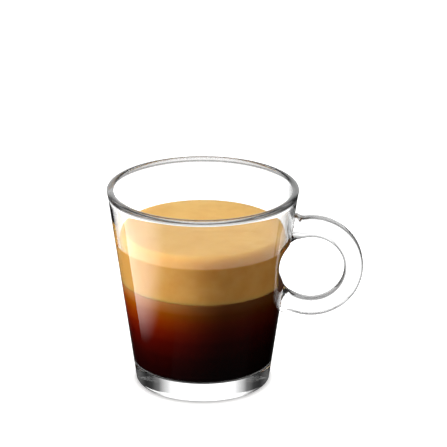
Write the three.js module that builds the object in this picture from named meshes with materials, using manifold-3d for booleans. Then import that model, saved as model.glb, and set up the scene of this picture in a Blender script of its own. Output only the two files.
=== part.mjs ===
// A double espresso in its glass cup: a clear tapered cup with a ring handle, dark coffee in
// its lower half and a deep layer of crema on top. Millimetres, +Z up. The origin is the middle
// of the cup's flat underside, the cup's axis is Z and the handle points along +X.

import * as THREE from 'three';
import { mergeVertices } from 'three/addons/utils/BufferGeometryUtils.js';
import Module from 'manifold-3d';

const wasm = await Module();
wasm.setup();

// Cup
const cupHeight = 66.8;
const footRadius = 22.0; // outside, where the straight wall meets the table
const lipRadius = 31.4; // outside, at the lip
const lipThickness = 2.2; // width of the oval bead along the lip, which overhangs the inside
const lipRise = 0.7; // half the bead's height
const lipTurn = 260; // how far round the bead's section goes before the wall begins, in degrees
const beadZ = 64.6; // where the straight inner wall begins, below the bead
const wallThickness = 0.6; // at the lip
const footRounding = 1.0;
const floorHeight = 6.0; // top of the thick glass floor
const floorRadius = 20.8; // inside, where the straight inner wall meets the floor
const floorRounding = 2.8;

// Drink
const coffeeTop = 35.8; // where the coffee ends and the crema begins
const cremaTop = 52.9;
const edgeDrop = 4.0; // how far the foam's surface has rounded down where it meets the glass
const edgeWidth = 2.2;
const gap = 0.3; // between the drink and the glass, and between its two layers

// Handle: a ring round a finger hole that also bites a shallow recess into the cup's wall
const holeX = 35.7;
const holeZ = 39.1;
const holeRadius = 10.85;
const holeFlare = 0.42; // how fast the recess grows taller towards its two ends
const holeWaist = 4.0; // how gently it starts to
const recessBacking = 1.5; // glass left behind the recess
const ringRadius = 17.1; // outside
const ringShiftX = -0.1; // the ring's outer circle sits a little off the hole's
const ringShiftZ = 0.55;
const ringHalfWidth = 2.8; // along Y
const ringSquareness = 4.2; // 2 would make the ring's section an oval, and more makes its sides flatter
const rootSquareness = 1.7; // where it leaves the wall
const upperFillet = 2.6; // radius of the hollow curve between the wall and the ring, above it
const lowerFillet = 3.2;
const rootSpread = 1.2; // how much wider the ring is, to each side, where it leaves the wall
const rootReach = 2.4;
const edgeClearance = 0.05; // keeps the ring's inner edge just clear of the recess
const rootDepth = 0.8; // how far the ring runs into the wall

// Fineness
const turns = 72; // round the cup's axis
const wallSteps = 6;
const cornerSteps = 6;
const lipSteps = 13;
const barSteps = 14;
const edgeSteps = 5;
const ringSteps = 72;
const sectionSteps = 16;
const tiny = 1e-4; // vertices nearer than this are one

const glassLook = { color: 0xf4f6f6, roughness: 0.03, metalness: 0 };
const coffeeLook = { color: 0x2a0702, roughness: 0.1, metalness: 0 };
const cremaLook = { color: 0xe5b77a, roughness: 0.45, metalness: 0 };

const wallSlope = (lipRadius - footRadius) / cupHeight;

function outerRadius(z) {
  return footRadius + wallSlope * z;
}

function innerRadius(z) {
  const share = (z - floorHeight) / (cupHeight - floorHeight);
  return floorRadius + (lipRadius - wallThickness - floorRadius) * share;
}

function arc(centreR, centreZ, radius, from, to, steps) {
  return Array.from({ length: steps + 1 }, (_, i) => {
    const angle = THREE.MathUtils.degToRad(from + ((to - from) * i) / steps);
    return new THREE.Vector2(centreR + radius * Math.cos(angle), centreZ + radius * Math.sin(angle));
  });
}

function line(radiusAt, fromZ, toZ, steps) {
  return Array.from({ length: steps - 1 }, (_, i) => {
    const z = fromZ + ((toZ - fromZ) * (i + 1)) / steps;
    return new THREE.Vector2(radiusAt(z), z);
  });
}

// A closed solid of a geometry, with shared vertices merged and empty triangles dropped.
function solidOf(geometry) {
  geometry.deleteAttribute('normal');
  geometry.deleteAttribute('uv');
  const merged = mergeVertices(geometry, tiny);
  const corners = merged.index.array;
  const kept = [];
  for (let i = 0; i < corners.length; i += 3) {
    const [a, b, c] = corners.slice(i, i + 3);
    if (a !== b && b !== c && c !== a) kept.push(a, b, c);
  }
  const vertProperties = new Float32Array(merged.attributes.position.array);
  return new wasm.Manifold(new wasm.Mesh({ numProp: 3, vertProperties, triVerts: new Uint32Array(kept) }));
}

// A profile of (radius, height) points, turned round the cup's axis.
function turned(profile) {
  return solidOf(new THREE.LatheGeometry(profile, turns).rotateX(Math.PI / 2));
}

function footAndWall(inset, topZ) {
  const radiusAt = (z) => outerRadius(z) - inset;
  const cornerZ = footRounding + inset;
  return [
    new THREE.Vector2(0, inset),
    ...arc(radiusAt(cornerZ) - footRounding, cornerZ, footRounding, -90, 0, cornerSteps),
    ...line(radiusAt, cornerZ, topZ, wallSteps),
  ];
}

// The lip's oval bead, from its outer side over the top and round to its underside.
function bead() {
  const half = lipThickness / 2;
  return Array.from({ length: lipSteps + 1 }, (_, i) => {
    const angle = THREE.MathUtils.degToRad((lipTurn * i) / lipSteps);
    const radius = lipRadius - half + half * Math.cos(angle);
    return new THREE.Vector2(radius, cupHeight - lipRise + lipRise * Math.sin(angle));
  });
}

function cup() {
  const cornerZ = floorHeight + floorRounding;
  const cornerR = innerRadius(cornerZ) - floorRounding;
  return turned([
    ...footAndWall(0, cupHeight - lipRise),
    ...bead(),
    new THREE.Vector2(innerRadius(beadZ), beadZ),
    ...line(innerRadius, beadZ, cornerZ, wallSteps),
    ...arc(cornerR, cornerZ, floorRounding, 0, -90, cornerSteps),
    new THREE.Vector2(0, floorHeight),
  ]);
}

// The cup's outer form as a full cone, smaller all round by inset and cut off level near the lip.
function core(inset) {
  const topZ = cupHeight - lipThickness;
  return turned([
    ...footAndWall(inset, topZ),
    new THREE.Vector2(outerRadius(topZ) - inset, topZ),
    new THREE.Vector2(0, topZ),
  ]);
}

// The finger hole's form, wider by grow: a bar along Y that grows taller towards its two ends.
function fingerBar(grow) {
  const reach = outerRadius(cupHeight);
  const side = Array.from({ length: barSteps + 1 }, (_, i) => {
    return new THREE.Vector2(holeRadius + grow, -reach + (2 * reach * i) / barSteps);
  });
  const ends = [new THREE.Vector2(0, -reach), new THREE.Vector2(0, reach)];
  const geometry = new THREE.LatheGeometry([ends[0], ...side, ends[1]], turns);
  const position = geometry.attributes.position;
  for (let i = 0; i < position.count; i++) {
    const z = position.getZ(i);
    const rise = holeFlare * (Math.hypot(position.getY(i), holeWaist) - holeWaist);
    if (Math.abs(z) > tiny) position.setZ(i, z + Math.sign(z) * rise);
  }
  return solidOf(geometry.translate(holeX, 0, holeZ));
}

// Distance from the hole's middle out to a circle, along a direction: to its near or its far side.
function reachTo(centre, radius, direction, side) {
  const along = centre.dot(direction);
  return along + side * Math.sqrt(Math.max(along ** 2 - centre.lengthSq() + radius ** 2, 0));
}

// The hollow curve that leads the wall into the ring, above it (side 1) or below it (side -1).
// Places are measured in the XZ plane from the hole's middle.
function rootFillet(side, radius) {
  const lean = Math.hypot(1, wallSlope);
  const up = new THREE.Vector2(wallSlope, 1).divideScalar(lean);
  const out = new THREE.Vector2(1, -wallSlope).divideScalar(lean);
  const wallFoot = new THREE.Vector2(outerRadius(0) - holeX, -holeZ);
  const ringFromFoot = ringCentre.clone().sub(wallFoot);
  const apart = ringFromFoot.dot(out) - radius;
  const climb = ringFromFoot.dot(up) + side * Math.sqrt((ringRadius + radius) ** 2 - apart ** 2);
  const centre = wallFoot.clone().addScaledVector(up, climb).addScaledVector(out, radius);
  const onRing = ringCentre.clone().lerp(centre, ringRadius / (ringRadius + radius));
  const onWall = centre.clone().addScaledVector(out, -radius);
  return { side, radius, centre, from: onRing.angle(), to: onWall.angle() };
}

const ringCentre = new THREE.Vector2(ringShiftX, ringShiftZ);
const fillets = [rootFillet(1, upperFillet), rootFillet(-1, lowerFillet)];

// Distance from the hole's middle out to the ring's outline, at an angle up from +X.
function outlineReach(angle) {
  for (const fillet of fillets) {
    const turn = angle < 0 ? angle + 2 * Math.PI : angle;
    const past = fillet.side * (turn - fillet.from);
    const wholeTurn = fillet.side * (fillet.to - fillet.from);
    const onSide = fillet.side > 0 ? turn < Math.PI : turn >= Math.PI;
    if (onSide && past > 0) {
      const held = fillet.from + fillet.side * Math.min(past, wholeTurn);
      return reachTo(fillet.centre, fillet.radius, new THREE.Vector2(Math.cos(held), Math.sin(held)), -1);
    }
  }
  return reachTo(ringCentre, ringRadius, new THREE.Vector2(Math.cos(angle), Math.sin(angle)), 1);
}

// A sine or cosine, drawn out so that the section that it makes has flatter sides.
function flattened(value, squareness) {
  return Math.sign(value) * Math.abs(value) ** (2 / squareness);
}

// The ring, whose flat-sided section swells where it nears the cup's wall. A plain torus gives
// each point's angle along the ring and round its section.
function ring() {
  const geometry = new THREE.TorusGeometry(1, 0.5, sectionSteps, ringSteps);
  const position = geometry.attributes.position;
  for (let i = 0; i < position.count; i++) {
    const angle = Math.atan2(position.getY(i), position.getX(i));
    const along = Math.hypot(position.getX(i), position.getY(i)) - 1;
    const around = Math.atan2(position.getZ(i), along);
    const inner = holeRadius + edgeClearance;
    const halfDepth = (outlineReach(angle) - inner) / 2;
    const middleX = holeX + (inner + halfDepth) * Math.cos(angle);
    const middleZ = holeZ + (inner + halfDepth) * Math.sin(angle);
    const nearness = Math.exp(-Math.max(middleX - outerRadius(middleZ), 0) / rootReach);
    const squareness = THREE.MathUtils.lerp(ringSquareness, rootSquareness, nearness);
    const radius = inner + halfDepth * (1 + flattened(Math.cos(around), squareness));
    const y = (ringHalfWidth + rootSpread * nearness) * flattened(Math.sin(around), squareness);
    position.setXYZ(i, holeX + radius * Math.cos(angle), y, holeZ + radius * Math.sin(angle));
  }
  geometry.index.array.reverse(); // the axis has turned from Z to Y, which mirrors the faces
  return solidOf(geometry);
}

function glassCup() {
  const backing = fingerBar(recessBacking).intersect(core(rootDepth));
  const body = cup().add(backing).subtract(fingerBar(0));
  return body.add(ring().subtract(core(rootDepth)));
}

// A layer of the drink between two heights, clear of the glass by the gap.
function layer(fromZ, topProfile) {
  const radiusAt = (z) => innerRadius(z) - gap;
  const top = topProfile(radiusAt);
  const clearance = fingerBar(recessBacking + gap);
  const cornerZ = floorHeight + floorRounding;
  const foot =
    fromZ < cornerZ
      ? arc(innerRadius(cornerZ) - floorRounding, cornerZ, floorRounding - gap, -90, 0, cornerSteps)
      : [new THREE.Vector2(radiusAt(fromZ), fromZ)];
  const sideFrom = Math.max(fromZ, cornerZ);
  const side = line(radiusAt, sideFrom, top[0].y, wallSteps);
  return turned([new THREE.Vector2(0, fromZ), ...foot, ...side, ...top]).subtract(clearance);
}

function coffee() {
  const topZ = coffeeTop - gap / 2;
  return layer(floorHeight + gap, (radiusAt) => [
    new THREE.Vector2(radiusAt(topZ), topZ),
    new THREE.Vector2(0, topZ),
  ]);
}

// The crema's flat surface rounds down to the glass at its edge.
function crema() {
  const edgeZ = cremaTop - edgeDrop;
  return layer(coffeeTop + gap / 2, (radiusAt) => {
    const edge = radiusAt(edgeZ);
    const rounding = Array.from({ length: edgeSteps + 1 }, (_, i) => {
      const angle = ((Math.PI / 2) * i) / edgeSteps;
      const radius = edge - edgeWidth * (1 - Math.cos(angle));
      return new THREE.Vector2(radius, cremaTop - edgeDrop * (1 - Math.sin(angle)));
    });
    return [...rounding, new THREE.Vector2(0, cremaTop)];
  });
}

function meshOf(name, solid, look) {
  const { vertProperties, triVerts } = solid.getMesh();
  const geometry = new THREE.BufferGeometry();
  geometry.setAttribute('position', new THREE.BufferAttribute(new Float32Array(vertProperties), 3));
  geometry.setIndex(new THREE.BufferAttribute(new Uint32Array(triVerts), 1));
  geometry.computeVertexNormals();
  const mesh = new THREE.Mesh(geometry, new THREE.MeshStandardMaterial(look));
  mesh.name = name;
  return mesh;
}

const group = new THREE.Group();
group.add(meshOf('glass_cup', glassCup(), { ...glassLook, transparent: true, opacity: 0.3 }));
group.add(meshOf('coffee', coffee(), coffeeLook));
group.add(meshOf('crema', crema(), cremaLook));

export default group;
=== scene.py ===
"""A double espresso in its clear glass cup with a ring handle, on a plain pale floor.

The sizes below are millimetres and the scene is in metres. The cup stands on z = 0 with its
axis on Z, and its handle points along +X.
"""

import math

import bpy
import numpy as np
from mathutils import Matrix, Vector

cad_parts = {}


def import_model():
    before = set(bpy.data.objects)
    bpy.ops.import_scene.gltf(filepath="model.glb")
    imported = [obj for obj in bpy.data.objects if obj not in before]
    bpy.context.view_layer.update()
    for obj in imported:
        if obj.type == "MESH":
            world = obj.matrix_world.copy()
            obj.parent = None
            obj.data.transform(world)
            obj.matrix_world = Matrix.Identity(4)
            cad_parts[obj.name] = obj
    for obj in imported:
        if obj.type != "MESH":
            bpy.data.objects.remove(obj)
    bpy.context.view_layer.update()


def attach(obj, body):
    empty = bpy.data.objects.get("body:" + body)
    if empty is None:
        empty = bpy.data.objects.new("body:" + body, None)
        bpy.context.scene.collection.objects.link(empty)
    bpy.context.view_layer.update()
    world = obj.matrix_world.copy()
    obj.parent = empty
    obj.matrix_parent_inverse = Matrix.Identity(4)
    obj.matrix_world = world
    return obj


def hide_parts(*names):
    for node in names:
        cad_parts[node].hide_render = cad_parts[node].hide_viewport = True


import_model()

MM = 0.001

# Cup
CUP_HEIGHT = 66.8
FOOT_RADIUS = 22.0  # outside, where the line of the straight wall meets the table
LIP_RADIUS = 31.4  # outside, at the lip
LIP_THICKNESS = 2.2  # width of the oval bead along the lip, which overhangs the inside
LIP_RISE = 0.7  # half the bead's height
LIP_TURN = math.radians(260)  # how far round the bead's section goes before the wall begins
BEAD_Z = 64.6  # where the straight inner wall begins, below the bead
WALL_THICKNESS = 0.6  # at the lip
FOOT_ROUNDING = 1.0
FLOOR_HEIGHT = 6.0  # top of the thick glass floor
FLOOR_RADIUS = 20.8  # inside, where the line of the inner wall meets the floor
FLOOR_ROUNDING = 2.8

# Drink
COFFEE_TOP = 35.8
CREMA_TOP = 52.9
EDGE_DROP = 4.0  # how far the foam's surface has rounded down where it meets the glass
EDGE_WIDTH = 2.2  # and how wide that rounding is
WETTING = 0.05  # how far the drink reaches into the glass, so that no air shows between them
LAYER_OVERLAP = 0.02

# Finger hole, a round bar of air along Y that widens to both sides, and the recess that it bites
HOLE_X = 35.7
HOLE_Z = 39.1
HOLE_RADIUS = 10.85
HOLE_FLARE = 0.42  # how steeply it widens up and down
HOLE_WAIST = 4.0  # how gently that begins
RECESS_BACKING = 1.5  # glass left behind the recess
RECESS_EDGE = 0.8  # how softly the recess runs out into the wall

# Ring handle
RING_RADIUS = 17.1
RING_SHIFT = (-0.1, 0.55)  # its middle from the hole's middle, along X and Z
RING_HALF_WIDTH = 2.8
RING_SQUARENESS = 4.2  # 2 would make the ring's section an oval, and more makes its sides flatter
ROOT_SQUARENESS = 1.7  # where it leaves the wall
ROOT_SPREAD = 1.2  # how much wider it is there, to each side
ROOT_REACH = 2.4  # how far from the wall the root blends into the ring
ROOT_DEPTH = 0.8  # how far it goes into the wall
UPPER_FILLET = 2.6
LOWER_FILLET = 3.2
EDGE_CLEARANCE = 0.05  # from the hole to the ring's inner edge

# Fineness
RECESS_SPAN = math.radians(34)  # to each side of the handle, where the columns are closest
RECESS_COLUMNS = 96
OTHER_COLUMNS = 180
LEVELS = np.concatenate([np.arange(1.5, 23, 1.5), np.arange(24, 54, 0.6), np.arange(54.5, 66, 1.0)])
LEVEL_MARGIN = 0.2  # how near a wall's end a level may lie
FLAT_SHARE = 0.96  # an extra circle on a flat face, to keep the shading of its rim narrow
FOAM_RADII = np.arange(22, 1, -1.5)
CORNER_STEPS = 12
LIP_STEPS = 28
EDGE_STEPS = 12
CORE_ROWS = 12
RING_STEPS = 240
SECTION_STEPS = 56
HALVINGS = 26  # of the distance in which the recess is searched for
OUT_OF_REACH = 60.0  # farther from the axis than any wall

WALL_SLOPE = (LIP_RADIUS - FOOT_RADIUS) / CUP_HEIGHT


# Shapes


def outer_radius(z):
    return FOOT_RADIUS + WALL_SLOPE * z


def inner_radius(z):
    share = (z - FLOOR_HEIGHT) / (CUP_HEIGHT - FLOOR_HEIGHT)
    return FLOOR_RADIUS + (LIP_RADIUS - WALL_THICKNESS - FLOOR_RADIUS) * share


def wet_radius(z):
    return inner_radius(z) + WETTING


def smooth_min(a, b, width):
    """The smaller of two values, with a soft change from one to the other."""
    share = np.clip(0.5 + 0.5 * (b - a) / width, 0, 1)
    return b + (a - b) * share - width * share * (1 - share)


def arc(centre, radius, start, end, steps):
    """Points of (radius, height) on an arc, its angles in degrees."""
    angles = np.radians(np.linspace(start, end, steps + 1))
    return [(centre[0] + radius * math.cos(a), centre[1] + radius * math.sin(a)) for a in angles]


def wall(radius_at, low, high):
    """Points up a straight wall, strictly between two heights."""
    low, high = low + LEVEL_MARGIN, high - LEVEL_MARGIN
    return [(radius_at(z), z) for z in LEVELS if low < z < high]


def bar_side(y, z, grow):
    """Where the near side of the finger hole's bar stands, along X."""
    rise = HOLE_FLARE * (np.hypot(y, HOLE_WAIST) - HOLE_WAIST)
    offset = np.maximum(np.abs(z - HOLE_Z) - rise, 0)
    half = np.sqrt(np.maximum((HOLE_RADIUS + grow) ** 2 - offset**2, 0))
    return np.where(half > 0, HOLE_X - half, OUT_OF_REACH)


def recess_radius(angle, z, grow):
    """Distance from the cup's axis to the bar, along an angle and at a height."""
    near = np.zeros(np.broadcast(angle, z).shape)
    far = np.full_like(near, OUT_OF_REACH)
    for _ in range(HALVINGS):
        middle = (near + far) / 2
        reached = middle * np.cos(angle) > bar_side(middle * np.sin(angle), z, grow)
        far = np.where(reached, middle, far)
        near = np.where(reached, near, middle)
    return near


def column_angles():
    """Angles round the cup, closest together beside the handle."""
    beside = np.linspace(-RECESS_SPAN, RECESS_SPAN, RECESS_COLUMNS, endpoint=False)
    others = np.linspace(RECESS_SPAN, 2 * math.pi - RECESS_SPAN, OTHER_COLUMNS, endpoint=False)
    return np.concatenate([beside, others])


def object_of(name, points, faces):
    """A smooth object from points in millimetres."""
    mesh = bpy.data.meshes.new(name)
    mesh.from_pydata((np.asarray(points) * MM).tolist(), [], faces)
    mesh.shade_smooth()
    mesh.update()
    piece = bpy.data.objects.new(name, mesh)
    bpy.context.scene.collection.objects.link(piece)
    return piece


def turned(name, profile, recess_grow):
    """A solid turned round Z from rows of (radius, height), the first and last on the axis.

    recess_grow says for each row how much larger than the finger hole its recess is.
    """
    angles = column_angles()
    rows = np.array(profile[1:-1])
    radii, heights = rows[:, :1] * np.ones(len(angles)), rows[:, 1:]
    recess = recess_radius(angles[None, :], heights, recess_grow[1:-1, None])
    radii = smooth_min(radii, recess, RECESS_EDGE)
    points = np.stack([radii * np.cos(angles), radii * np.sin(angles), heights + 0 * radii], -1)
    ends = [(0, 0, profile[0][1]), (0, 0, profile[-1][1])]
    points = np.concatenate([points.reshape(-1, 3), ends])
    count = len(angles)
    first, last = len(points) - 2, len(points) - 1
    faces = []
    for row in range(len(rows) - 1):
        for column in range(count):
            a, b = row * count + column, row * count + (column + 1) % count
            faces.append((a, b, b + count, a + count))
    top = (len(rows) - 1) * count
    for column in range(count):
        following = (column + 1) % count
        faces.append((following, column, first))
        faces.append((top + column, top + following, last))
    return object_of(name, points, faces)


def bead():
    """The lip's oval bead, from its outer side over the top and round to its underside."""
    half = LIP_THICKNESS / 2
    angles = np.linspace(0, LIP_TURN, LIP_STEPS + 1)
    radii = LIP_RADIUS - half + half * np.cos(angles)
    return list(zip(radii, CUP_HEIGHT - LIP_RISE + LIP_RISE * np.sin(angles)))


def floor_corner():
    """The middle of the arc that rounds the inside from the floor into the wall."""
    corner_z = FLOOR_HEIGHT + FLOOR_ROUNDING
    return inner_radius(corner_z) - FLOOR_ROUNDING, corner_z


def cup():
    foot_centre = (outer_radius(FOOT_ROUNDING) - FOOT_ROUNDING, FOOT_ROUNDING)
    outside = [(0, 0), (foot_centre[0] * FLAT_SHARE, 0)]
    outside += arc(foot_centre, FOOT_ROUNDING, -90, 0, CORNER_STEPS)
    outside += wall(outer_radius, FOOT_ROUNDING, BEAD_Z)
    outside += bead()
    floor_edge, corner_z = floor_corner()
    inside = [(inner_radius(BEAD_Z), BEAD_Z)]
    inside += wall(inner_radius, corner_z, BEAD_Z)[::-1]
    inside += arc((floor_edge, corner_z), FLOOR_ROUNDING, 0, -90, CORNER_STEPS)
    inside += [(floor_edge * FLAT_SHARE, FLOOR_HEIGHT), (0, FLOOR_HEIGHT)]
    grow = np.array([0.0] * len(outside) + [RECESS_BACKING] * len(inside))
    return turned("cup", outside + inside, grow)


def core():
    """The cup's outer form as a full cone, smaller all round by the depth of the handle's roots."""
    low, high = ROOT_DEPTH, CUP_HEIGHT - LIP_THICKNESS
    side = [(outer_radius(z) - ROOT_DEPTH, z) for z in np.linspace(low, high, CORE_ROWS)]
    profile = [(0, low), *side, (0, high)]
    return turned("core", profile, np.full(len(profile), -HOLE_RADIUS))


def reach_to(centre, radius, direction, side):
    """Distance from the hole's middle out to a circle's near side (-1) or its far side (1)."""
    along = centre.dot(direction)
    return along + side * math.sqrt(max(along**2 - centre.length_squared + radius**2, 0))


def turn_of(vector):
    """A direction's angle up from +X, from 0 to a whole turn."""
    return math.atan2(vector.y, vector.x) % (2 * math.pi)


def root_fillet(side, radius):
    """The hollow curve that leads the wall into the ring, above it (1) or below it (-1)."""
    lean = math.hypot(1, WALL_SLOPE)
    up = Vector((WALL_SLOPE, 1)) / lean
    out = Vector((1, -WALL_SLOPE)) / lean
    ring_centre = Vector(RING_SHIFT)
    wall_foot = Vector((outer_radius(0) - HOLE_X, -HOLE_Z))
    apart = (ring_centre - wall_foot).dot(out) - radius
    climb = (ring_centre - wall_foot).dot(up)
    climb += side * math.sqrt((RING_RADIUS + radius) ** 2 - apart**2)
    centre = wall_foot + up * climb + out * radius
    on_ring = ring_centre.lerp(centre, RING_RADIUS / (RING_RADIUS + radius))
    on_wall = centre - out * radius
    return {
        "side": side,
        "radius": radius,
        "centre": centre,
        "from": turn_of(on_ring),
        "to": turn_of(on_wall),
    }


FILLETS = [root_fillet(1, UPPER_FILLET), root_fillet(-1, LOWER_FILLET)]


def outline_reach(turn):
    """Distance from the hole's middle out to the ring's outline."""
    for fillet in FILLETS:
        past = fillet["side"] * (turn - fillet["from"])
        whole = fillet["side"] * (fillet["to"] - fillet["from"])
        on_side = (turn < math.pi) == (fillet["side"] > 0)
        if on_side and past > 0:
            held = fillet["from"] + fillet["side"] * min(past, whole)
            direction = Vector((math.cos(held), math.sin(held)))
            return reach_to(fillet["centre"], fillet["radius"], direction, -1)
    direction = Vector((math.cos(turn), math.sin(turn)))
    return reach_to(Vector(RING_SHIFT), RING_RADIUS, direction, 1)


def flattened(values, squareness):
    """Sines or cosines, drawn out so that the section that they make has flatter sides."""
    return np.sign(values) * np.abs(values) ** (2 / squareness)


def ring_section(turn):
    """Points round the ring's section, which swells where it nears the cup's wall."""
    around = np.arange(SECTION_STEPS) * 2 * math.pi / SECTION_STEPS
    inner = HOLE_RADIUS + EDGE_CLEARANCE
    half_depth = (outline_reach(turn) - inner) / 2
    middle = inner + half_depth
    middle_z = HOLE_Z + middle * math.sin(turn)
    clear = max(HOLE_X + middle * math.cos(turn) - outer_radius(middle_z), 0)
    nearness = math.exp(-clear / ROOT_REACH)
    squareness = RING_SQUARENESS + (ROOT_SQUARENESS - RING_SQUARENESS) * nearness
    half_width = RING_HALF_WIDTH + ROOT_SPREAD * nearness
    radius = inner + half_depth * (1 + flattened(np.cos(around), squareness))
    x = HOLE_X + radius * math.cos(turn)
    z = HOLE_Z + radius * math.sin(turn)
    return np.stack([x, half_width * flattened(np.sin(around), squareness), z], -1)


def ring():
    turns = [step * 2 * math.pi / RING_STEPS for step in range(RING_STEPS)]
    points = np.concatenate([ring_section(turn) for turn in turns])
    faces = []
    for step in range(RING_STEPS):
        this, following = step * SECTION_STEPS, (step + 1) % RING_STEPS * SECTION_STEPS
        for k in range(SECTION_STEPS):
            m = (k + 1) % SECTION_STEPS
            faces.append((this + k, this + m, following + m, following + k))
    return object_of("ring", points, faces)


def combine(piece, other, operation):
    """Joins another solid to a piece, or cuts it from it, and removes the other."""
    modifier = piece.modifiers.new(operation, "BOOLEAN")
    modifier.operation = operation
    modifier.solver = "MANIFOLD"
    modifier.object = other
    graph = bpy.context.evaluated_depsgraph_get()
    joined = bpy.data.meshes.new_from_object(piece.evaluated_get(graph))
    piece.modifiers.clear()
    piece.data = joined
    bpy.data.objects.remove(other)


def glass_cup():
    piece = cup()
    piece.name = "clear_cup"
    handle = ring()
    combine(handle, core(), "DIFFERENCE")
    combine(piece, handle, "UNION")
    piece.data.shade_smooth()
    return piece


def layer(name, profile):
    """A layer of the drink, which follows the recess on the inside of the glass."""
    return turned(name, profile, np.full(len(profile), RECESS_BACKING - WETTING))


def coffee():
    top = COFFEE_TOP + LAYER_OVERLAP
    centre = floor_corner()
    profile = [(0, FLOOR_HEIGHT - WETTING)]
    profile += arc(centre, FLOOR_ROUNDING + WETTING, -90, 0, CORNER_STEPS)
    profile += wall(wet_radius, centre[1], top)
    profile += [(wet_radius(top), top), (0, top)]
    return layer("espresso", profile)


def crema():
    edge_z = CREMA_TOP - EDGE_DROP
    edge = wet_radius(edge_z)
    profile = [(0, COFFEE_TOP), (wet_radius(COFFEE_TOP), COFFEE_TOP)]
    profile += wall(wet_radius, COFFEE_TOP, edge_z)
    for angle in np.linspace(0, math.pi / 2, EDGE_STEPS + 1):
        radius = edge - EDGE_WIDTH * (1 - math.cos(angle))
        profile.append((radius, CREMA_TOP - EDGE_DROP * (1 - math.sin(angle))))
    profile += [(radius, CREMA_TOP) for radius in FOAM_RADII]
    profile.append((0, CREMA_TOP))
    return layer("crema_foam", profile)


# Materials


def linear(*srgb):
    """Linear values of an sRGB colour of 0 to 255."""
    return tuple(((c / 255 + 0.055) / 1.055) ** 2.4 if c > 10 else c / 255 / 12.92 for c in srgb)


def greys(stops):
    """Stops of (place, grey) as stops of (place, colour)."""
    return [(place, (value,) * 3) for place, value in stops]


GLASS_IOR = 1.52
GLASS_MOTTLE = 90  # scale of the faint unevenness in its tint and its polish
GLASS_TINTS = [(0.3, (0.975, 0.98, 0.98)), (0.7, (0.995, 0.995, 0.995))]
GLASS_ROUGHEST = 0.012
GLASS_CLEAR = (0.97, 0.97, 0.97, 1)  # for shadows and soft light, which pass straight through

# Painted shade: greys of the glass, from where it is seen face on (0) to where it is seen edge-on
# (1), that stand in for the dark outlines of its edges, and the places between which they set in,
# up Z for the lip and along X for the handle
LIP_PAINTED_SHADES = greys([(0.0, 0.75), (0.25, 0.4), (0.55, 0.03)])
LIP_SPAN = (BEAD_Z, BEAD_Z + 0.6)
HANDLE_PAINTED_SHADES = greys([(0.12, 1.0), (0.25, 0.3), (0.45, 0.1)])
HANDLE_SPAN = (27.5, 29.5)

# Colours of the drink by height, from the bottom of a layer (0) to its top (1)
# Coffee: its own near-black low down, and towards the top a painted amber glow of light shining
# through it
COFFEE_COLOURS_AND_PAINTED_GLOW = [
    (0.0, (0.008, 0.001, 0.001)),
    (0.14, (0.013, 0.001, 0.001)),
    (0.3, (0.03, 0.0015, 0.001)),
    (0.5, (0.085, 0.003, 0.001)),
    (0.63, (0.17, 0.01, 0.001)),
    (0.76, (0.27, 0.035, 0.001)),
    (0.86, (0.34, 0.075, 0.002)),
    (0.9, (0.42, 0.12, 0.018)),
    (0.98, (0.5, 0.19, 0.05)),
]
# Crema: painted shade makes its side darker and a little warmer than its top
CREMA_PAINTED_SIDE_SHADE = [
    (0.0, (0.86, 0.83, 0.76)),
    (0.75, (0.86, 0.84, 0.8)),
    (0.8, (1.0, 1.0, 0.96)),
]
CREMA_CLOUD_SCALE = 160
CREMA_CLOUDS = [(0.35, linear(221, 168, 90)), (0.65, linear(229, 180, 103))]
COFFEE_IOR = 1.34
COFFEE_MIRROR = (0.01, 0.3)  # Fresnel's shares between which the glass turns into a full mirror

FLOOR_WHITES = greys([(0.0, 0.86), (1.0, 0.9)])
FLOOR_MOTTLE = 3
CONTACT_SHADOW = (20.5, 23.8)  # distances from the axis, from dim to bright
FLOOR_GLOW = (0.1, 0.85)  # dim, bright
SHEEN_WHITES = greys([(0.0, 0.9), (1.0, 0.95)])
SHEEN_MOTTLE = 40

WINDOW_STRENGTH = 4.0
WINDOW_COLOUR = (1.0, 0.97, 0.94, 1)
WINDOW_FADES = [("Y", (-110, -15)), ("Z", (-36, -10)), ("Z", (40, 2))]  # axis, from dark to lit


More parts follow.
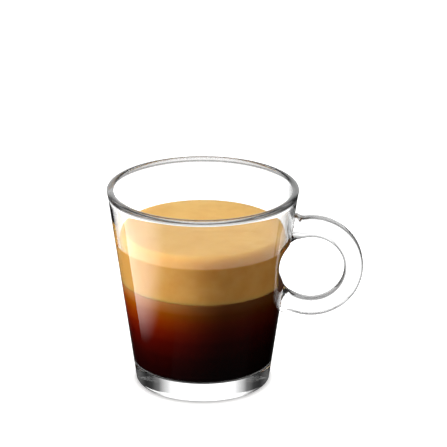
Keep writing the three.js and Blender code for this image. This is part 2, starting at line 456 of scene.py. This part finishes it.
class Nodes:
    """Short ways to add nodes to a material's tree, or a world's, and to link them."""

    def __init__(self, tree):
        self.tree = tree

    def link(self, source, target):
        self.tree.links.new(source, target)

    def add(self, kind, **settings):
        """A node; a setting named after one of its inputs is a value or a link, else a property."""
        node = self.tree.nodes.new(kind)
        for name, value in settings.items():
            label = name.replace("_", " ")
            found = [s for s in node.inputs if s.name.lower() == label.lower()]
            if not found:
                setattr(node, name, value)
            elif isinstance(value, bpy.types.NodeSocket):
                self.link(value, found[0])
            else:
                found[0].default_value = value
        return node

    def ramp(self, factor, stops):
        """Colours by a factor, from stops of (place, (r, g, b))."""
        node = self.add("ShaderNodeValToRGB")
        self.link(factor, node.inputs["Fac"])
        elements = node.color_ramp.elements
        while len(elements) < len(stops):
            elements.new(0.5)
        for element, (place, colour) in zip(elements, stops):
            element.position = place
            element.color = (*colour, 1)
        return node.outputs["Color"]

    def own_place(self):
        return self.add("ShaderNodeTexCoord").outputs["Object"]

    def noise(self, scale, detail=2):
        place = self.own_place()
        node = self.add("ShaderNodeTexNoise", Vector=place, Scale=scale, Detail=detail)
        return node.outputs["Fac"]

    def span(self, value, low, high, **settings):
        """How far a value has gone from one number to another, from 0 to 1."""
        node = self.add("ShaderNodeMapRange", Value=value, From_Min=low, From_Max=high, **settings)
        return node.outputs["Result"]

    def along(self, axis, low, high, **settings):
        """How far along an axis a point lies between two places in millimetres, from 0 to 1."""
        place = self.add("ShaderNodeNewGeometry").outputs["Position"]
        split = self.add("ShaderNodeSeparateXYZ", Vector=place)
        return self.span(split.outputs[axis], low * MM, high * MM, **settings)

    def multiply(self, first, second, share=1.0):
        """The first colour, multiplied by the second to the extent of a share."""
        node = self.add("ShaderNodeMix", Factor=share, data_type="RGBA", blend_type="MULTIPLY")
        self.link(first, node.inputs[6])
        self.link(second, node.inputs[7])
        return node.outputs[2]

    def mix(self, share, first, second):
        """A shader that changes from the first to the second with a share."""
        node = self.add("ShaderNodeMixShader", Fac=share)
        self.link(first.outputs[0], node.inputs[1])
        self.link(second.outputs[0], node.inputs[2])
        return node

    def show(self, shader):
        self.add("ShaderNodeOutputMaterial", Surface=shader.outputs[0])


def material(name):
    """An empty node material, and the helper that fills it."""
    made = bpy.data.materials.new(name)
    made.use_nodes = True
    made.node_tree.nodes.clear()
    return made, Nodes(made.node_tree)


def glass_material():
    """Clear glass, with painted shade that turns it grey where the lip and the handle are seen
    edge-on.
    """
    made, nodes = material("clear_glass")
    mottle = nodes.noise(GLASS_MOTTLE)
    tint_and_painted_shade = nodes.ramp(mottle, GLASS_TINTS)
    facing = nodes.add("ShaderNodeLayerWeight", Blend=0.5).outputs["Facing"]
    # painted shade: greys where the lip and the handle are seen edge-on
    for painted_shades, axis, places in ((LIP_PAINTED_SHADES, "Z", LIP_SPAN), (HANDLE_PAINTED_SHADES, "X", HANDLE_SPAN)):
        tint_and_painted_shade = nodes.multiply(tint_and_painted_shade, nodes.ramp(facing, painted_shades), nodes.along(axis, *places))
    glass = nodes.add(
        "ShaderNodeBsdfPrincipled",
        Base_Color=tint_and_painted_shade,
        Roughness=nodes.span(mottle, 0.0, 1.0, To_Max=GLASS_ROUGHEST),
        IOR=GLASS_IOR,
        Transmission_Weight=1.0,
    )
    clear = nodes.add("ShaderNodeBsdfTransparent", Color=GLASS_CLEAR)
    path = nodes.add("ShaderNodeLightPath")
    passing = nodes.add("ShaderNodeMath", operation="MAXIMUM")
    nodes.link(path.outputs["Is Shadow Ray"], passing.inputs[0])
    nodes.link(path.outputs["Is Diffuse Ray"], passing.inputs[1])
    nodes.show(nodes.mix(passing.outputs[0], glass, clear))
    return made


def coffee_material():
    """Dark coffee with a painted amber glow towards its top, and at a grazing angle the mirror that
    the glass in front of it becomes.
    """
    made, nodes = material("espresso")
    # the base colour carries the painted amber glow towards the top
    body = nodes.add(
        "ShaderNodeBsdfPrincipled",
        Base_Color=nodes.ramp(nodes.along("Z", FLOOR_HEIGHT, COFFEE_TOP), COFFEE_COLOURS_AND_PAINTED_GLOW),
        Roughness=0.3,
        Specular_IOR_Level=0.0,
        Subsurface_Weight=0.5,
        Subsurface_Radius=(1.0, 0.3, 0.1),
        Subsurface_Scale=0.0015,
    )
    mirror = nodes.add("ShaderNodeBsdfAnisotropic", Roughness=0.0)
    share = nodes.add("ShaderNodeFresnel", IOR=COFFEE_IOR / GLASS_IOR).outputs[0]
    nodes.show(nodes.mix(nodes.span(share, *COFFEE_MIRROR), body, mirror))
    return made


def crema_material():
    """Fine foam with faint clouds, and painted shade that makes it a little darker down its side.
    """
    made, nodes = material("crema")
    clouds = nodes.ramp(nodes.noise(CREMA_CLOUD_SCALE, detail=4), CREMA_CLOUDS)
    # painted shade down the foam's side
    painted_side_shade = nodes.ramp(nodes.along("Z", COFFEE_TOP, CREMA_TOP), CREMA_PAINTED_SIDE_SHADE)
    body = nodes.add(
        "ShaderNodeBsdfPrincipled",
        Base_Color=nodes.multiply(clouds, painted_side_shade),
        Roughness=0.5,
        Specular_IOR_Level=0.03,
        Subsurface_Weight=1.0,
        Subsurface_Radius=(1.0, 0.9, 0.8),
        Subsurface_Scale=0.005,
    )
    nodes.show(body)
    return made


def floor_material():
    """White all over, but for the thin shadow where the foot meets it."""
    made, nodes = material("studio_floor")
    distance = nodes.add("ShaderNodeVectorMath", operation="LENGTH")
    nodes.link(nodes.own_place(), distance.inputs[0])
    low, high = CONTACT_SHADOW
    dim, bright = FLOOR_GLOW
    reach = distance.outputs["Value"]
    body = nodes.add(
        "ShaderNodeBsdfPrincipled",
        Base_Color=nodes.ramp(nodes.noise(FLOOR_MOTTLE), FLOOR_WHITES),
        Roughness=0.8,
        Emission_Color=(1, 1, 1, 1),
        Emission_Strength=nodes.span(reach, low * MM, high * MM, To_Min=dim, To_Max=bright),
    )
    nodes.show(body)
    return made


def sheen_material():
    made, nodes = material("floor_sheen")
    white = nodes.ramp(nodes.noise(SHEEN_MOTTLE), SHEEN_WHITES)
    body = nodes.add("ShaderNodeBsdfPrincipled", Base_Color=white, Metallic=1.0, Roughness=0.08)
    nodes.show(body)
    return made


def window_material():
    """A glow that is even at the back, and fades to the front, downwards and upwards."""
    made, nodes = material("window")
    strength = WINDOW_STRENGTH
    for axis, (dark, lit) in WINDOW_FADES:
        strength = nodes.along(axis, dark, lit, interpolation_type="SMOOTHSTEP", To_Max=strength)
    nodes.show(nodes.add("ShaderNodeEmission", Color=WINDOW_COLOUR, Strength=strength))
    return made


# Studio

CAMERA_DISTANCE = 1155.0
CAMERA_ELEVATION = math.radians(21.7)
CAMERA_TARGET = Vector((0, 0, 33.4))
CAMERA_ASIDE = 6.8  # how far the frame's middle lies to the right of the target
CAMERA_ABOVE = 19.5  # and above it
CAMERA_LENS = 281.9
CAMERA_SENSOR = 36.0
CAMERA_NEAREST = 0.05  # metres

# Brightness by a direction's rise, from straight down (0) over level (0.5) to straight up (1)
SKY = greys([(0.0, 0.02), (0.49, 0.02), (0.51, 1.0), (0.7, 1.0), (0.8, 0.1)])

# and by how far back it points, from towards the front (0) over the sides (0.5) to the back (1)
SCREEN = greys([
    (0.0, 1.5),
    (0.4, 1.2),
    (0.5, 0.35),
    (0.66, 0.2),
    (0.73, 0.1),
    (0.79, 0.03),
    (0.845, 0.05),
    (0.885, 0.2),
    (0.918, 0.9),
    (0.94, 1.6),
])

WINDOW_X = -100.0
WINDOW_SPAN_Y = (-110, 27)
WINDOW_SPAN_Z = (-70, 60)

FLOOR_REACH = 2500.0  # from the axis, along X and Y
FLOOR_GAP = 0.1  # the foot stands on the floor's high spots, so a film of air lies between them
SHEEN_SPAN_X = (-45, 10)
SHEEN_SPAN_Y = (18, 62)

FRONT_RIGHT = (250, -600, 250)  # where two of the lamps stand
MOST_BOUNCES = 24
GLASS_BOUNCES = 16


def camera():
    away = Vector((0, math.cos(CAMERA_ELEVATION), -math.sin(CAMERA_ELEVATION)))
    frame_width = CAMERA_DISTANCE * CAMERA_SENSOR / CAMERA_LENS
    data = bpy.data.cameras.new("camera")
    data.lens = CAMERA_LENS
    data.sensor_width = CAMERA_SENSOR
    data.clip_start = CAMERA_NEAREST
    data.shift_x = CAMERA_ASIDE / frame_width
    data.shift_y = CAMERA_ABOVE / frame_width
    shown = bpy.data.objects.new("camera", data)
    shown.location = (CAMERA_TARGET - away * CAMERA_DISTANCE) * MM
    shown.rotation_euler = away.to_track_quat("-Z", "Y").to_euler()
    bpy.context.scene.collection.objects.link(shown)
    bpy.context.scene.camera = shown


def hide_from(piece, kinds):
    for kind in kinds:
        setattr(piece, "visible_" + kind, False)


def panel(name, corners, look):
    """A flat four-sided stage object."""
    made = object_of(name, corners, [(0, 1, 2, 3)])
    made.data.materials.append(look)
    return made


def level_corners(span_x, span_y, z):
    (left, right), (near, far) = span_x, span_y
    return [(left, near, z), (right, near, z), (right, far, z), (left, far, z)]


def studio_floor():
    span = (-FLOOR_REACH, FLOOR_REACH)
    floor = panel("floor", level_corners(span, span, -FLOOR_GAP), floor_material())
    hide_from(floor, ("diffuse", "glossy"))


def floor_sheen():
    """The floor's gloss behind the foot, which only shows through the glass."""
    corners = level_corners(SHEEN_SPAN_X, SHEEN_SPAN_Y, -FLOOR_GAP / 2)
    sheen = panel("sheen", corners, sheen_material())
    hide_from(sheen, ("camera", "diffuse", "glossy", "volume_scatter", "shadow"))


def window():
    """A tall soft light to the left that only mirror images show."""
    (front, back), (low, high) = WINDOW_SPAN_Y, WINDOW_SPAN_Z
    outline = [(front, low), (back, low), (back, high), (front, high)]
    pane = panel("window", [(WINDOW_X, y, z) for y, z in outline], window_material())
    hide_from(pane, ("camera", "diffuse", "transmission", "volume_scatter", "shadow"))


def world():
    """A sky, pale low down behind and in front, dim to the sides, and dark above and below."""
    made = bpy.data.worlds.new("studio")
    made.use_nodes = True
    nodes = Nodes(made.node_tree)
    toward = nodes.add("ShaderNodeTexCoord").outputs["Generated"]
    split = nodes.add("ShaderNodeSeparateXYZ", Vector=toward)
    sky = nodes.ramp(nodes.span(split.outputs["Z"], -1.0, 1.0), SKY)
    screen = nodes.ramp(nodes.span(split.outputs["Y"], -1.0, 1.0), SCREEN)
    background = made.node_tree.nodes["Background"]
    nodes.link(nodes.multiply(sky, screen), background.inputs["Color"])
    bpy.context.scene.world = made
    made.cycles_visibility.diffuse = False


def area_light(name, place, size, power, colour=(1, 1, 1), mirrored=False, only=None):
    """A softbox aimed at the cup, which may show as a mirror image, or light just one piece."""
    light = bpy.data.lights.new(name, "AREA")
    light.shape = "RECTANGLE"
    light.size = light.size_y = size * MM
    light.energy = power
    light.color = colour
    lamp = bpy.data.objects.new(name, light)
    lamp.location = Vector(place) * MM
    lamp.rotation_euler = (CAMERA_TARGET - Vector(place)).to_track_quat("-Z", "Y").to_euler()
    lamp.visible_transmission = False
    lamp.visible_glossy = mirrored
    bpy.context.scene.collection.objects.link(lamp)
    if only:
        lit = bpy.data.collections.new(name + "_lights")
        lit.objects.link(only)
        lamp.light_linking.receiver_collection = lit


def dress(piece, look, node):
    """Gives a piece its material, and the place in the part that it takes."""
    piece.data.materials.clear()
    piece.data.materials.append(look)
    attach(piece, "root")
    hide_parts(node)


# Scene

camera()
studio_floor()
world()
floor_sheen()
window()

dress(glass_cup(), glass_material(), "glass_cup")
drink, foam = coffee(), crema()
dress(drink, coffee_material(), "coffee")
dress(foam, crema_material(), "crema")

area_light("top_softbox", (0, 60, 600), size=500, power=2.75, mirrored=True)
area_light("front_fill", FRONT_RIGHT, size=500, power=0.5, colour=(1, 0.85, 0.7))
area_light("coffee_key", (-600, -106, 200), size=300, power=5.7, only=drink)
area_light("foam_key", (-590, -150, 150), size=240, power=5.5, only=foam)
area_light("foam_fill", FRONT_RIGHT, size=500, power=3.1, colour=(1, 0.9, 0.8), only=foam)

bpy.context.scene.view_settings.view_transform = "Standard"
bpy.context.scene.cycles.max_bounces = MOST_BOUNCES
bpy.context.scene.cycles.glossy_bounces = GLASS_BOUNCES
bpy.context.scene.cycles.transmission_bounces = GLASS_BOUNCES
